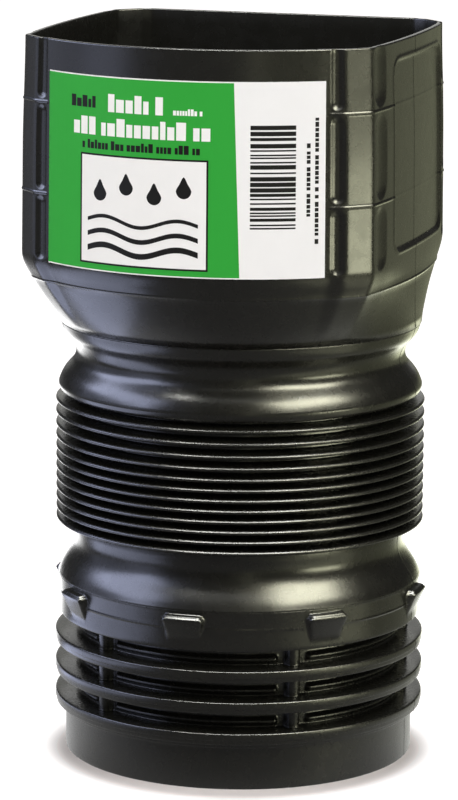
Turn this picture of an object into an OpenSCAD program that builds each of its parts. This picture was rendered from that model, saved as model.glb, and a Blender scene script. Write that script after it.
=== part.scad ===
// Flexible downspout adapter: rectangular downspout socket above, round corrugated-pipe spigot below.
// Units are millimetres. Z runs up the axis, X along the long side of the socket, the label faces -Y.

/* [Socket collar] */
// outside length of the socket, side face to side face at the corners
collar_length = 110.8; // [108:0.2:118]
// distance from the axis to the flat back face
collar_back = 43.4; // [42:0.2:48]
// distance from the axis to the crown of the bowed front face
collar_front = 69.2; // [66:0.2:74]
// how far in from each side face the bowed front and the back face end
corner_width = 12; // [11:0.2:14]
// how far the front face bows forward over its width
front_bow = 14.8; // [10:0.2:18]
// outward bow of each side face
side_bow = 1.2; // [0.6:0.1:2]
// width and depth of the 45 degree corner bands
corner_band = 6.5; // [5.5:0.5:8]
// how much the collar tapers up to its rim, as a share of its size at the base
collar_taper = 0.011; // [0.004:0.001:0.016]
// how much further each side is drawn in at the rim
rim_draw_in = 0.6; // [0.2:0.1:1]
// height of the straight collar, from the cone's top to the rim
collar_height = 67; // [60:0.5:76]
// wall of the collar and of the cone below it
collar_wall = 1.6; // [1.4:0.1:2.2]

/* [Mould lines and flutes] */
// how far the cone's mould line lies below the straight collar
cone_line_drop = 5.4; // [4:0.2:8]
// height of the collar's lower mould line above the collar's base
mould_line_rise = 21.4; // [18:0.2:26]
// distance between the collar's two mould lines
mould_line_gap = 27; // [22:0.2:30]
// how proud a mould line stands
mould_line_proud = 0.25; // [0.2:0.05:0.4]
// height of a mould line
mould_line_width = 0.7; // [0.5:0.1:1]
// half width of the narrow flute beside the front or back face
flute_narrow = 2.2; // [1.6:0.1:2.3]
// half width of the wide flute between a front band and the side face
flute_wide = 5; // [4:0.1:5.5]
// half width of the flute between a back band and the side face
flute_back = 3.1; // [2.4:0.1:3.4]
// depth of the flutes
flute_depth = 0.9; // [0.5:0.1:1]
// depth of the recessed panel on each side face
panel_depth = 0.7; // [0.4:0.1:0.9]
// margins between that panel and the ends of the side face
panel_front_margin = 6.4; // [4:0.2:10]
panel_back_margin = 1.4; // [1:0.2:5]
// margins between that panel and the base and rim of the collar
panel_low_margin = 5; // [4:0.5:8]
panel_high_margin = 5.5; // [4:0.5:8]

/* [Cone and upper neck] */
// outside radius where the round part meets the cone
cone_radius = 55; // [54.5:0.1:57]
// height of the cone, from the mould line at its foot to the straight collar
cone_height = 22; // [20:0.5:26]
// how deep the upper neck is waisted below the cone
neck_depth = 4.9; // [4.2:0.1:6.4]
// height from the upper neck's waist to the cone's foot
neck_flare = 10; // [9.6:0.1:13]
// how far the shoulder below the upper neck stands out of the waist
shoulder_reach = 5.5; // [5:0.1:7]
// height from the shoulder's lower edge to the waist
shoulder_height = 9.8; // [9.2:0.1:12]

/* [Bellows] */
// number of folds
fold_count = 12; // [8:1:12]
// distance between the lower folds
fold_pitch = 3.14; // [3.1:0.01:3.3]
// number of folds at the top that stand further and further apart
open_folds = 4; // [1:1:6]
// how far the first of these stands off
fold_opening = 0.27; // [0.2:0.01:0.35]
// height from the lower neck's waist to the lowest crest
fold_lead = 6.6; // [5.8:0.1:8]
// height from the highest crest to the shoulder's lower edge
fold_tail = 4.7; // [4.3:0.1:6]
// outside radius of the crests
crest_radius = 56.5; // [55.5:0.1:58]
// depth of the folds
fold_depth = 5.9; // [5:0.1:7]
// half width of a crest at its rim
crest_half = 0.62; // [0.5:0.02:0.8]
// half width of a fold at its root
root_half = 1.25; // [1.1:0.01:1.3]
// wall of the folds
fold_wall = 0.8; // [0.6:0.05:0.9]

/* [Skirt and tabs] */
// how far the skirt's face lies inside the ribs' edges
skirt_inset = 1.5; // [1:0.1:2.5]
// how far the bulge above the skirt stands out of the skirt
bulge_flare = 0.4; // [0:0.1:1]
// how deep the lower neck is waisted above the bulge
low_neck_depth = 5.4; // [4.8:0.1:6.8]
// height of the gap between the highest rib and the skirt
skirt_gap = 5.7; // [5:0.1:6.5]
// height of the skirt, from its lower edge to the mould line under the bulge
skirt_height = 12.1; // [11:0.1:14]
// height of the mould line on the skirt above the skirt's lower edge
skirt_line_rise = 6.7; // [6:0.1:7.5]
// height from the mould line under the bulge to the lower neck's waist
bulge_height = 11.3; // [10.5:0.1:13]
// number of snap tabs round the skirt
tab_count = 8; // [4:1:10]
// width of a tab at its ledge
tab_width = 13.2; // [11:0.2:15]
// width of a tab at its foot
tab_foot_width = 10.4; // [8:0.2:12]
// how far a tab stands out of the skirt
tab_reach = 3; // [2:0.1:4]
// height of a tab's foot above the skirt's lower edge
tab_rise = 2.8; // [2:0.1:3.6]
// how far a tab's ledge lies below the mould line under the bulge
tab_drop = 1.4; // [1:0.1:2]

/* [Snap ribs] */
// number of ribs
rib_count = 3; // [2:1:3]
// distance between ribs
rib_pitch = 9.55; // [9.2:0.05:9.6]
// thickness of a rib
rib_thickness = 3.6; // [3.2:0.1:4]
// outside radius of the ribs
rib_radius = 56.8; // [55:0.1:58]
// step at the middle of a rib's edge
rib_step = 0.3; // [0.2:0.05:0.5]
// depth of the valleys between the ribs
rib_depth = 7.7; // [6.5:0.1:9]
// wall of the skirt, ribs and spigot
spigot_wall = 1.5; // [1.2:0.1:1.8]
// number of posts in each valley
post_count = 5; // [3:1:8]
// radius of a post
post_radius = 2.3; // [1.8:0.1:2.5]
// radius of the bead that rings each valley
bead_radius = 1.2; // [0.9:0.05:1.3]
// height of the bead above the rib under it
bead_lift = 2; // [1.6:0.1:2.2]
// gap in degrees from a post's middle to the bead's end
bead_gap = 5.6; // [4:0.1:8]

/* [Spigot ring] */
// how far the plain ring at the foot lies inside the ribs' edges
ring_inset = 3.2; // [2.6:0.1:5]
// height of the plain ring
ring_height = 13; // [11:0.1:16]
// how far the step between the ring and the lowest rib stands out of the ring
step_flare = 1.7; // [1:0.1:2]
// height of that step
step_height = 1.4; // [1:0.1:2]

/* [Label] */
// thickness of the label
label_thickness = 0.3; // [0.2:0.05:0.4]
// layer of glue between the face and the label
label_glue = 0.05; // [0.03:0.01:0.08]
// margins between the label and the ends, the base and the rim of the front face
label_side_margin = 1.3; // [0.6:0.1:5]
label_low_margin = 1.2; // [0.5:0.1:8]
label_high_margin = 9; // [5:0.1:14]

/* [Hidden] */
$fn = 96;

// radii of the spigot, from the ribs' edges inwards
rib_valley = rib_radius - rib_depth;
bore_radius = rib_valley - spigot_wall;
skirt_radius = rib_radius - skirt_inset;
bulge_radius = skirt_radius + bulge_flare;
low_neck_radius = bulge_radius - low_neck_depth;
ring_radius = rib_radius - ring_inset;
ring_step = ring_radius + step_flare;

// radii of the bellows and the upper neck
valley_radius = crest_radius - fold_depth;
neck_radius = cone_radius - neck_depth;
shoulder_radius = neck_radius + shoulder_reach;

// heights, each from the one below it
function rib_z(i) = ring_height + step_height + rib_thickness + i * rib_pitch;
skirt_foot = rib_z(rib_count - 1) + skirt_gap;
skirt_line = skirt_foot + skirt_line_rise;
bulge_line = skirt_foot + skirt_height;
tab_foot = skirt_foot + tab_rise;
tab_ledge = bulge_line - tab_drop;
low_neck_height = bulge_line + bulge_height;
fold_start = low_neck_height + fold_lead;
function fold_z(i) = fold_start + i * fold_pitch
    + fold_opening * pow(max(0, i + 1 - fold_count + open_folds), 1.5);
shoulder_edge = fold_z(fold_count - 1) + fold_tail;
neck_height = shoulder_edge + shoulder_height;
cone_foot = neck_height + neck_flare;
collar_base = cone_foot + cone_height;
rim_height = collar_base + collar_height;
mould_line_low = collar_base - cone_line_drop;
mould_line_mid = collar_base + mould_line_rise;
mould_line_high = mould_line_mid + mould_line_gap;
label_low = collar_base + label_low_margin;
label_high = rim_height - label_high_margin;

// the front face is an arc through its two ends and its crown
side_x = collar_length / 2;
front_half = side_x - corner_width;
label_half = front_half - label_side_margin;
front_radius = (front_half * front_half + front_bow * front_bow) / (2 * front_bow);
front_centre = front_radius - collar_front;
front_angle = asin(front_half / front_radius);
front_steps = 18;
back_steps = 12;
front_end = collar_front - front_bow;

// corner points in the first quadrant sense, from the face round to the side
band_in = 1.5;
side_in = 1.1;
band_lead = corner_width - corner_band - side_in;
front_lead = 11.5;
back_lead = 7;
function corner(face_y, lead) = [
    [front_half, face_y],
    [front_half + band_lead, face_y - band_in],
    [side_x - side_in, face_y - band_in - corner_band],
    [side_x, face_y - band_in - corner_band - lead]
];
front_corner = corner(front_end, front_lead);
back_corner = corner(collar_back, back_lead);
function mirror_x(points) = [for (i = [len(points) - 1:-1:0]) [-points[i][0], points[i][1]]];
function flip_y(points) = [for (p = points) [p[0], -p[1]]];

// one side face from its front end to its back end, bowed like a shallow parabola
side_steps = 6;
function side_face() = let (a = -front_corner[3][1], b = back_corner[3][1])
    [for (i = [1:side_steps - 1]) let (t = i / side_steps)
        [side_x + side_bow * 4 * t * (1 - t), a + (b - a) * t]];

// the collar's outline, anticlockwise from the left end of the front face
function front_face() = [for (i = [1:front_steps - 1])
    let (a = front_angle * (2 * i / front_steps - 1))
        [front_radius * sin(a), front_centre - front_radius * cos(a)]];
function back_face() = [for (i = [1:back_steps - 1])
    [front_half * (1 - 2 * i / back_steps), collar_back]];
right_half = concat(flip_y(front_corner), side_face(), [for (i = [3:-1:0]) back_corner[i]]);
outline = concat(front_face(), right_half, back_face(), mirror_x(right_half));
count = len(outline);

// unit normal at a point, from its two neighbours
function normal_at(i) = let (
    a = outline[(i + count - 1) % count],
    b = outline[(i + 1) % count],
    d = b - a
) [d[1], -d[0]] / norm(d);
function outset(distance) = [for (i = [0:count - 1]) outline[i] + distance * normal_at(i)];

// the collar tapers from its base to its rim, and near the rim its sides are drawn in further
straight_top = collar_base + (rim_height - collar_base) / 2;
function taper(z) = 1 - collar_taper * (z - collar_base) / (rim_height - collar_base);
function draw_in(z) = rim_draw_in * max(0, (z - straight_top) / (rim_height - straight_top));
function tapered(p, z) = [abs(p[0]) > front_half ? p[0] * taper(z) - sign(p[0]) * draw_in(z)
    : p[0] * taper(z), p[1] * taper(z)];
function wall(distance, z) = [for (p = outset(distance)) tapered(p, z)];

// part of the way from a circle to an outline, along each point's own direction
function blend(points, radius, share) = [for (p = points)
    p * (radius + (norm(p) - radius) * share) / norm(p)];
cone_curve = 0.82;
function cone_share(z) = pow((z - cone_foot) / (collar_base - cone_foot), cone_curve);
function cone_ring(z, inset) = z >= collar_base ? outset(-inset)
    : z <= cone_foot ? blend(outset(-inset), cone_radius - inset - (cone_foot - z) * 0.5, 0)
    : blend(outset(-inset), cone_radius - inset, cone_share(z));

cone_steps = 6;
cone_overlap = 1.2;
function cone_levels() = concat(
    [cone_foot - cone_overlap],
    [for (i = [1:cone_steps]) cone_foot + (collar_base - cone_foot) * i / cone_steps]);

// a stack of rings with the same number of points, as one closed solid
module loft(levels, rings) {
    n = len(rings[0]);
    points = [for (k = [0:len(levels) - 1]) for (p = rings[k]) [p[0], p[1], levels[k]]];
    bottom = [[for (i = [0:n - 1]) i]];
    top = [[for (i = [n - 1:-1:0]) (len(levels) - 1) * n + i]];
    sides = [for (k = [0:len(levels) - 2]) for (i = [0:n - 1])
        let (j = (i + 1) % n, a = k * n + i, b = k * n + j, c = a + n, d = b + n)
            each [[a, c, d], [a, d, b]]];
    polyhedron(points, concat(bottom, top, sides), convexity = 6);
}

module collar_shell(inset, top) {
    levels = concat(cone_levels(), [straight_top, top]);
    rings = concat([for (z = cone_levels()) cone_ring(z, inset)],
        [wall(-inset, straight_top), wall(-inset, top)]);
    loft(levels, rings);
}

// mould lines are left out where the label lies
module mould_line(z) {
    difference() {
        translate([0, 0, z - mould_line_width / 2])
            linear_extrude(mould_line_width)
                polygon(z < collar_base
                    ? blend(outset(mould_line_proud), cone_radius + mould_line_proud, cone_share(z))
                    : wall(mould_line_proud, z));
        if (z > label_low)
            translate([-front_half, -2 * collar_front, z - mould_line_width])
                cube([2 * front_half, 2 * collar_front - front_end + band_in, 2 * mould_line_width]);
    }
}

// a vertical flute with round ends in the wall from a to b
module flute(a, b, half_width, low, high) {
    radius = (half_width * half_width + flute_depth * flute_depth) / (2 * flute_depth);
    out = radius - flute_depth;
    middle = (a + b) / 2 + out * left_of(b - a);
    end = [for (t = [18:24:90]) [norm([out, half_width * sin(t)]), half_width * (1 - cos(t))]];
    translate([middle[0], middle[1], 0])
        rotate_extrude()
            polygon(concat([[0, low], [out - 0.2, low]], [for (p = end) [p[0], low + p[1]]],
                [for (i = [3:-1:0]) [end[i][0], high - end[i][1]]], [[out - 0.2, high], [0, high]]));
}

module corner_flutes(corner_points, wide, low, high) {
    points = [for (p = corner_points) tapered(p, (low + high) / 2)];
    flute(points[0], points[1], flute_narrow, low, high);
    flute(points[2], points[3], wide, low, high);
}

module flutes() {
    gap = 0.9;
    stops = [collar_base + 0.5, mould_line_mid, mould_line_high, rim_height + 2];
    for (k = [0:2]) for (s = [-1, 1]) {
        low = stops[k] + gap;
        high = stops[k + 1] - gap;
        scale([s, 1, 1])
            corner_flutes(back_corner, flute_back, low, high);
        scale([s, -1, 1])
            corner_flutes(front_corner, flute_wide, low, high);
    }
}

// recessed panel on each side face, following the face's bow
module side_panels() {
    low = collar_base + panel_low_margin;
    high = rim_height - panel_high_margin;
    front = -front_corner[3][1] + panel_front_margin;
    back = back_corner[3][1] - panel_back_margin;
    radius = 5;
    for (s = [0, 1])
        mirror([s, 0, 0])
            difference() {
                translate([side_x - 3, (front + back) / 2, 0])
                    rotate([90, 0, 90])
                        linear_extrude(8)
                            rounded_box(back - front, low, high, radius);
                loft([low - 1, straight_top, high + 1],
                    [for (z = [low - 1, straight_top, high + 1]) wall(-panel_depth, z)]);
            }
}

module rounded_box(width, low, high, radius) {
    for (x = [-1, 1]) for (y = [low + radius, high - radius])
        translate([x * (width / 2 - radius), y])
            circle(radius);
    translate([-width / 2 + radius, low])
        square([width - 2 * radius, high - low]);
    translate([-width / 2, low + radius])
        square([width, high - low - 2 * radius]);
}

// outer profile of the ribs, from the foot to the skirt's lower edge
function rib_outside(i) = [
    [rib_radius - rib_step, rib_z(i) - rib_thickness],
    [rib_radius - rib_step, rib_z(i) - rib_thickness * 0.62],
    [rib_radius, rib_z(i) - rib_thickness * 0.6],
    [rib_radius, rib_z(i) - 0.3],
    [rib_radius - 0.3, rib_z(i)],
    [rib_valley, rib_z(i)]
];
spigot_outside = concat(
    [[ring_radius, 0], [ring_radius, ring_height],
        [ring_step, ring_height + 0.3], [ring_step, rib_z(0) - rib_thickness]],
    rib_outside(0),
    [for (i = [1:rib_count - 1]) each concat([[rib_valley, rib_z(i) - rib_thickness]], rib_outside(i))],
    [[rib_valley, skirt_foot], [skirt_radius - 0.3, skirt_foot], [skirt_radius, skirt_foot + 0.3]]
);
bulge_outside = [
    [skirt_radius, skirt_line - 0.4], [skirt_radius + 0.25, skirt_line],
    [skirt_radius + 0.1, skirt_line + 0.4],
    [bulge_radius, bulge_line - 0.3], [bulge_radius + 0.25, bulge_line],
    [bulge_radius - 0.1, bulge_line + 0.5],
    [bulge_radius - 0.6, bulge_line + 1.9],
    [bulge_radius - 2.1, bulge_line + 4.3],
    [bulge_radius - 3.6, bulge_line + 6.4],
    [low_neck_radius + 0.6, low_neck_height - 2.6],
    [low_neck_radius, low_neck_height],
    [valley_radius + 0.1, fold_start - 3]
];

// one fold of the bellows, outside and inside
function fold_outside(i) = [
    [valley_radius, fold_z(i) - root_half],
    [crest_radius - 0.35, fold_z(i) - crest_half],
    [crest_radius, fold_z(i) - crest_half + 0.3],
    [crest_radius, fold_z(i) + crest_half - 0.3],
    [crest_radius - 0.35, fold_z(i) + crest_half],
    [valley_radius, fold_z(i) + root_half]
];
function fold_inside(i) = [
    [valley_radius - fold_wall, fold_z(i) - root_half + fold_wall * 0.8],
    [crest_radius - 2 * fold_wall, fold_z(i) - 0.15],
    [crest_radius - 2 * fold_wall, fold_z(i) + 0.15],
    [valley_radius - fold_wall, fold_z(i) + root_half - fold_wall * 0.8]
];
neck_outside = [
    [valley_radius, shoulder_edge - 2.7],
    [shoulder_radius - 1.1, shoulder_edge - 2.2],
    [shoulder_radius - 0.4, shoulder_edge - 1.4],
    [shoulder_radius, shoulder_edge],
    [shoulder_radius - 0.5, shoulder_edge + 1.4],
    [shoulder_radius - 2, shoulder_edge + 3.6],
    [shoulder_radius - 3.6, shoulder_edge + 5.6],
    [neck_radius + 0.8, neck_height - 2.6],
    [neck_radius, neck_height],
    [neck_radius + 0.4, neck_height + 1.9],
    [neck_radius + 1.5, neck_height + 4.2],
    [neck_radius + 3.7, neck_height + 6.2],
    [cone_radius - 0.5, cone_foot - 2.4],
    [cone_radius, cone_foot - 0.8],
    [cone_radius + mould_line_proud, cone_foot - 0.2],
    [cone_radius + mould_line_proud, cone_foot + 0.2]
];
body_outside = concat(spigot_outside, bulge_outside,
    [for (i = [0:fold_count - 1]) each fold_outside(i)], neck_outside);

// points moved to the left of their line by a wall, square to it at each corner
function left_of(d) = [-d[1], d[0]] / norm(d);
function inset(points, wall) = [for (i = [0:len(points) - 1])
    let (
        before = left_of(points[max(i, 1)] - points[max(i, 1) - 1]),
        after = left_of(points[min(i + 1, len(points) - 1)] - points[min(i, len(points) - 2)])
    ) points[i] + wall * (before + after) / (1 + before * after)];

// inner profiles, one wall inside the outer ones
rib_skin = 1.1;
function rib_inside(i) = [
    [bore_radius, rib_z(i) - rib_thickness + rib_skin],
    [rib_radius - rib_step - spigot_wall, rib_z(i) - rib_thickness + rib_skin],
    [rib_radius - rib_step - spigot_wall, rib_z(i) - rib_skin],
    [bore_radius, rib_z(i) - rib_skin]
];
spigot_inside = concat(
    [[ring_radius - spigot_wall, -1], [ring_radius - spigot_wall, rib_z(0) - rib_thickness + rib_skin]],
    [for (k = [1:3]) rib_inside(0)[k]],
    [for (i = [1:rib_count - 1]) each rib_inside(i)],
    [[bore_radius, skirt_foot + rib_skin], [skirt_radius - spigot_wall, skirt_foot + rib_skin]]
);
low_neck_inside = inset([
    [bulge_radius, bulge_line],
    [bulge_radius - 0.6, bulge_line + 1.9],
    [bulge_radius - 3.6, bulge_line + 6.4],
    [low_neck_radius + 0.1, low_neck_height - 1],
    [valley_radius, fold_start - 3.4],
    [valley_radius, fold_start - root_half]
], spigot_wall);
neck_inside = inset([
    [valley_radius, fold_z(fold_count - 1) + root_half],
    [valley_radius, shoulder_edge - 2.7],
    [shoulder_radius - 0.2, shoulder_edge - 1.6],
    [shoulder_radius - 0.5, shoulder_edge + 1.4],
    [shoulder_radius - 3.6, shoulder_edge + 5.6],
    [neck_radius + 0.4, neck_height - 1.5],
    [neck_radius + 0.4, neck_height + 1],
    [neck_radius + 3.7, neck_height + 6.2],
    [cone_radius - 0.5, cone_foot - 2.4],
    [cone_radius - 0.6, cone_foot + 1]
], collar_wall);
body_inside = concat(spigot_inside, low_neck_inside,
    [for (i = [0:fold_count - 1]) each fold_inside(i)], neck_inside);

module revolved(profile) {
    low = profile[0][1];
    high = profile[len(profile) - 1][1];
    rotate_extrude()
        polygon(concat([[0, low]], profile, [[0, high]]));
}

// a snap tab: a wedge with its ledge at the top, cut to a trapezoid as seen from outside
module tab() {
    root = skirt_radius - 1;
    reach = skirt_radius + tab_reach;
    intersection() {
        rotate([90, 0, 0])
            linear_extrude(tab_width + 2, center = true)
                polygon([[root, tab_foot - 0.4], [skirt_radius, tab_foot], [reach, tab_ledge - 1.2],
                    [reach - 0.2, tab_ledge - 0.3], [reach - 0.7, tab_ledge], [root, tab_ledge + 0.3]]);
        translate([root - 1, 0, 0])
            rotate([90, 0, 90])
                linear_extrude(tab_reach + 4)
                    polygon([[-tab_foot_width / 2, tab_foot - 1], [tab_foot_width / 2, tab_foot - 1],
                        [tab_width / 2, tab_ledge - 1.2], [tab_width / 2 - 1, tab_ledge + 1],
                        [-tab_width / 2 + 1, tab_ledge + 1], [-tab_width / 2, tab_ledge - 1.2]]);
    }
}

module tabs() {
    for (i = [0:tab_count - 1])
        rotate([0, 0, -90 + i * 360 / tab_count])
            tab();
}

// posts and interrupted beads in the valley above each rib
module valley_details() {
    turn = 360 / post_count;
    for (i = [0:rib_count - 1]) {
        low = rib_z(i) - 0.5;
        high = (i < rib_count - 1 ? rib_z(i + 1) - rib_thickness : skirt_foot) + 0.5;
        for (k = [0:post_count - 1])
            rotate([0, 0, 90 + k * turn]) {
                translate([rib_valley + 0.9, 0, low])
                    cylinder(r = post_radius, h = high - low, $fn = 24);
                rotate([0, 0, bead_gap])
                    translate([0, 0, rib_z(i) + bead_lift])
                        rotate_extrude(angle = turn - 2 * bead_gap)
                            translate([rib_valley + 0.1, 0])
                                circle(bead_radius, $fn = 20);
            }
    }
}

module adapter_body() {
    color("#1c1b18")
        difference() {
            union() {
                revolved(body_outside);
                collar_shell(0, rim_height);
                mould_line(mould_line_low);
                mould_line(mould_line_mid);
                mould_line(mould_line_high);
                tabs();
                valley_details();
            }
            revolved(body_inside);
            collar_shell(collar_wall, rim_height + 1);
            flutes();
            side_panels();
        }
}

// the label's face follows the tapering front of the collar
function label_inner(z) = front_radius * taper(z) + front_centre * (1 - taper(z)) + label_glue;
module label() {
    half_angle = asin(label_half / front_radius);
    color("#f4f4f0")
        translate([0, front_centre, 0])
            rotate([0, 0, -90 - half_angle])
                rotate_extrude(angle = 2 * half_angle)
                    polygon([[label_inner(label_low), label_low],
                        [label_inner(label_low) + label_thickness, label_low],
                        [label_inner(label_high) + label_thickness, label_high],
                        [label_inner(label_high), label_high]]);
}

adapter_body();
label();
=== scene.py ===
"""Looks of a flexible downspout adapter: glossy black blow moulding with a printed label."""

import math
import random

import bmesh
import bpy
import numpy as np
from mathutils import Matrix, Vector


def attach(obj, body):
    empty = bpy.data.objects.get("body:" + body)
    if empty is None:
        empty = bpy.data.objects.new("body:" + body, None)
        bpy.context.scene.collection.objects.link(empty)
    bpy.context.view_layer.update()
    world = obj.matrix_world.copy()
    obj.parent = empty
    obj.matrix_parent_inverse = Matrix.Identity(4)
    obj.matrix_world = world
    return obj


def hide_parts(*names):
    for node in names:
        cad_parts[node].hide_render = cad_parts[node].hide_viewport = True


MM = 0.001
BODY = "root"

# Collar, in millimetres, as in the part's source
COLLAR_LENGTH = 110.8
COLLAR_BACK = 43.4
COLLAR_FRONT = 69.2
FRONT_HALF = 43.4
FRONT_BOW = 14.8
SIDE_BOW = 1.2
CORNER_WIDTH = 12.0
CORNER_BAND = 6.5
COLLAR_TAPER = 0.011
RIM_DRAW_IN = 0.6
RIM_DRAW_START = FRONT_HALF - 2.0
RIM_DRAW_SPAN = 6.0
RIM_LIP = 0.35
RIM_HEIGHT = 223.0
COLLAR_BASE = 156.0
COLLAR_WALL = 1.6
STRAIGHT_TOP = (COLLAR_BASE + RIM_HEIGHT) / 2
BAND_IN = 1.5
SIDE_IN = 1.1
BAND_LEAD = CORNER_WIDTH - CORNER_BAND - SIDE_IN
FRONT_LEAD = 11.5
BACK_LEAD = 7.0

# Mould lines, flutes and side panels
COLLAR_LINES = (177.4, 204.4)
CONE_LINE = 150.6
LINE_PROUD = 0.25
LINE_HALF = 0.3
FLUTE_DEPTH = 0.9
FLUTE_NARROW_HALF = 2.2
FLUTE_WIDE_HALF = 5.0
FLUTE_BACK_HALF = 3.1
FLUTE_GAP = 0.9
PANEL_DEPTH = 0.7
PANEL_WIDTH = 55.5
PANEL_MIDDLE = -0.75
PANEL_LOW = COLLAR_BASE + 5.0
PANEL_HIGH = RIM_HEIGHT - 5.5
PANEL_CORNER = 5.0
SEAM_PROUD = 0.1
SEAM_HALF = 0.22
SEAM_SHIFT = 6.5
SEAM_ANGLES = (0.0, 180.0)

# A panel's edge slopes inwards from EDGE_OUT, and has a lip round it
PANEL_EDGE_OUT = 0.2
PANEL_EDGE_SPAN = 1.3
PANEL_LIP = 0.22
PANEL_LIP_OUT = 0.5
PANEL_LIP_HALF = 0.4
PANEL_SIDE = 3.0

# The mould lines fade by this share on a panel, over SPAN inwards from FADE_OUT outside its edge
LINE_FADE = 0.8
LINE_FADE_OUT = 6.0
LINE_FADE_SPAN = 10.0

# Cone and upper neck
CONE_RADIUS = 55.0
CONE_FOOT = 134.0
CONE_CURVE = 0.82
CONE_ROUNDING = 2.6
CONE_SAMPLES = 9
NECK_RADIUS = 50.1
NECK_HEIGHT = 124.0
SHOULDER_RADIUS = 55.6
SHOULDER_EDGE = 114.2

# Bellows
FOLD_COUNT = 12
FOLD_PITCH = 3.14
OPEN_FOLDS = 4
FOLD_OPENING = 0.27
FOLD_START = 72.8
CREST_RADIUS = 56.5
VALLEY_RADIUS = 50.6
CREST_HALF = 0.62
CREST_FLAT = 0.2
CREST_BEVEL = 0.5
ROOT_HALF = 1.25
FOLD_WALL = 0.8

# Skirt and tabs
SKIRT_RADIUS = 55.3
BULGE_RADIUS = 55.7
SKIRT_FOOT = 42.8
SKIRT_LINE = 49.5
BULGE_LINE = 54.9
LOW_NECK_RADIUS = 50.3
LOW_NECK_HEIGHT = 66.2
TAB_COUNT = 8
TAB_HALF = 6.6
TAB_FOOT_HALF = 5.2
TAB_REACH = 3.0
TAB_FOOT = 45.6
TAB_LEDGE = 53.5
TAB_SIDE_ANGLE = 6.1
TAB_ANGLES = [(-90 + k * 360 / TAB_COUNT) % 360 for k in range(TAB_COUNT)]

# A tab's top: full reach from FLAT under its ledge, rounded by DROP, narrowed, and its soft sides
TAB_FLAT = 1.2
TAB_TOP_DROP = 0.7
TAB_LEDGE_SPAN = 0.3
TAB_NARROWING = 0.9
TAB_NARROWING_START = 1.4
TAB_NARROWING_SPAN = 1.6
TAB_SIDE_SPAN = 0.8

# Snap ribs and spigot ring
RIB_COUNT = 3
RIB_PITCH = 9.55
RIB_TOP = 18.0
RIB_THICKNESS = 3.6
RIB_RADIUS = 56.8
RIB_STEP = 0.3
RIB_VALLEY = 49.1
VALLEY_LIMIT = RIB_VALLEY + 0.3
SPIGOT_WALL = 1.5
SPIGOT_SKIN = 1.1
POST_COUNT = 5
POST_RADIUS = 2.3
POST_OUT = 0.9
POST_EDGE = 0.3
POST_ANGLES = [(90 + k * 360 / POST_COUNT) % 360 for k in range(POST_COUNT)]
BEAD_PROUD = 1.3
BEAD_FLAT = 0.15
BEAD_SLOPE = 1.45
BEAD_LIFT = 2.0
BEAD_GAP = 5.6
BEAD_END_SPAN = 1.2
RING_RADIUS = 53.6
RING_HEIGHT = 13.0
RING_STEP = 55.3

# Label, and how the mould lines begin beside it
LABEL_THICKNESS = 0.3
LABEL_GLUE = 0.05
LABEL_HALF = 42.1
LABEL_LOW = 157.2
LABEL_HIGH = 214.0
LABEL_OVERLAP = 0.6
LABEL_OVERLAP_SPAN = 0.8

# Spacing of the meshes' points, in millimetres or in degrees round the axis
COLLAR_SPACING = 1.5
COLLAR_LEVELS = 2.4
COLLAR_INSIDE_LEVELS = 4.0
LEAST_LEVEL_GAP = 0.09
FLUTE_MARGIN = 1.2
FLUTE_SPACING = 0.42
SEAM_MARGIN = 0.6
SEAM_SPACING = 0.16
BELLOWS_ANGLE = 2.1
BELLOWS_SPACING = 2.5
SPIGOT_ANGLE = 2.6
SPIGOT_SPACING = 1.1
SPIGOT_INSIDE_SPACING = 6.0
LEDGE_SPACING = 0.17
LEDGE_BELOW = 1.6
LEDGE_ABOVE = 0.5
VALLEY_SPACING = 0.32

# Closer spacing near small forms: how far it reaches, and the spacing there
LINE_FINE = (0.6, 0.15)
FLUTE_END_FINE = (1.5, 0.4)
PANEL_FINE = (2.0, 0.5)
BELLOWS_SEAM_FINE = (1.0, 0.2)
SPIGOT_SEAM_FINE = (0.8, 0.2)
POST_FINE = (3.2, 0.48)
TAB_SIDE_FINE = (1.3, 0.42)
BEAD_END_FINE = (0.8, 0.45)

# Rounded corners: pieces to each, and the most of a side that one may take
CORNER_STEPS = 3
FILLET_SHARE = 0.48

FRONT_RADIUS = (FRONT_HALF**2 + FRONT_BOW**2) / (2 * FRONT_BOW)
FRONT_CENTRE = FRONT_RADIUS - COLLAR_FRONT
FRONT_END = COLLAR_FRONT - FRONT_BOW
SIDE_X = COLLAR_LENGTH / 2

# The camera, as the photograph shows the object
CAMERA_AZIMUTH = 17.1
CAMERA_DISTANCE = 1.181
CAMERA_HEIGHT = 0.3429
CAMERA_PITCH = 11.245
CAMERA_ROLL = -0.38
CAMERA_YAW = 0.169
FOCAL_PIXELS = 3923.2
LONG_SIDE_PIXELS = 800
SENSOR = 36.0


def smooth_step(x):
    """0 below 0, 1 above 1, and smooth between."""
    x = np.clip(x, 0.0, 1.0)
    return x * x * (3 - 2 * x)


def ridge(distance, half):
    """A soft ridge of height 1 where distance is 0, gone at twice its half width."""
    return np.clip(1 - (distance / (2 * half)) ** 2, 0.0, 1.0) ** 2


def linked(name, data):
    """A new object of the scene from its data."""
    item = bpy.data.objects.new(name, data)
    bpy.context.scene.collection.objects.link(item)
    return item


def grid_mesh(name, rings):
    """A closed mesh from a stack of closed rings, the last joined to the first."""
    levels, around, _ = rings.shape
    index = np.arange(levels * around).reshape(levels, around)
    right = np.roll(index, -1, axis=1)
    above = np.roll(index, -1, axis=0)
    corner = np.roll(right, -1, axis=0)
    faces = np.stack([index, right, corner, above], axis=2).reshape(-1, 4)
    mesh = bpy.data.meshes.new(name)
    mesh.from_pydata((rings.reshape(-1, 3) * MM).tolist(), [], faces.tolist())
    mesh.polygons.foreach_set("use_smooth", np.ones(len(faces), bool))
    mesh.update()
    return linked(name, mesh)


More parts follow.
